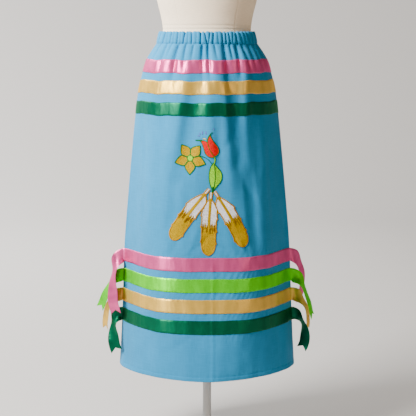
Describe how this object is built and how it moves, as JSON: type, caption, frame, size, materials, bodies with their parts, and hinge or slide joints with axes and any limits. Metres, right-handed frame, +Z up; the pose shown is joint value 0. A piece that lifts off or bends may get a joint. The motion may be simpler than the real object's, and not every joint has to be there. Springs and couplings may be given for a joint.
{
  "type": "ribbon skirt on a dress form",
  "caption": "A-line skirt with an elastic waist, satin ribbon bands, free ribbon ends at the side seams and an embroidered flower with feathers, on a limbless dress form with a round base.",
  "frame": {"origin": "middle of the stand base's underside, on the floor", "axes": "+Z up, the skirt's front panel faces -Y, and +X is to the right as one looks at the front"},
  "size_m": [0.6387, 0.3712, 1.6973],
  "materials": {
    "cotton": "plain-woven cotton, matt",
    "satin_pink": "polyester satin ribbon",
    "satin_gold": "polyester satin ribbon",
    "satin_green": "polyester satin ribbon",
    "satin_lime": "polyester satin ribbon",
    "thread_yellow": "satin-stitch embroidery thread",
    "thread_red": "satin-stitch embroidery thread",
    "thread_green": "satin-stitch embroidery thread",
    "form_linen": "unbleached linen stretched over the form",
    "form_wood": "satin varnish",
    "stand_paint": "satin pale grey paint"
  },
  "bodies": {
    "root": {"skirt_front": "cotton", "skirt_back": "cotton", "waistband": "cotton", "ribbon_pink_top_front": "satin_pink", "ribbon_pink_top_back": "satin_pink", "ribbon_gold_top_front": "satin_gold", "ribbon_gold_top_back": "satin_gold", "ribbon_green_top_front": "satin_green", "ribbon_green_top_back": "satin_green", "ribbon_pink_low_front": "satin_pink", "ribbon_pink_low_back": "satin_pink", "ribbon_lime_low_front": "satin_lime", "ribbon_lime_low_back": "satin_lime", "ribbon_gold_low_front": "satin_gold", "ribbon_gold_low_back": "satin_gold", "ribbon_green_low_front": "satin_green", "ribbon_green_low_back": "satin_green", "tail_pink_left": "satin_pink", "tail_pink_right": "satin_pink", "tail_lime_left": "satin_lime", "tail_lime_right": "satin_lime", "tail_gold_left": "satin_gold", "tail_gold_right": "satin_gold", "tail_green_left": "satin_green", "tail_green_right": "satin_green", "motif_flower": "thread_yellow", "motif_tulip": "thread_red", "motif_leaves": "thread_green", "motif_feather_left": "thread_yellow", "motif_feather_middle": "thread_yellow", "motif_feather_right": "thread_yellow", "form_torso": "form_linen", "form_plate_left": "form_wood", "form_plate_right": "form_wood", "form_neck_cap": "form_wood", "stand_pole": "stand_paint", "stand_base": "stand_paint"}
  },
  "joints": []
}
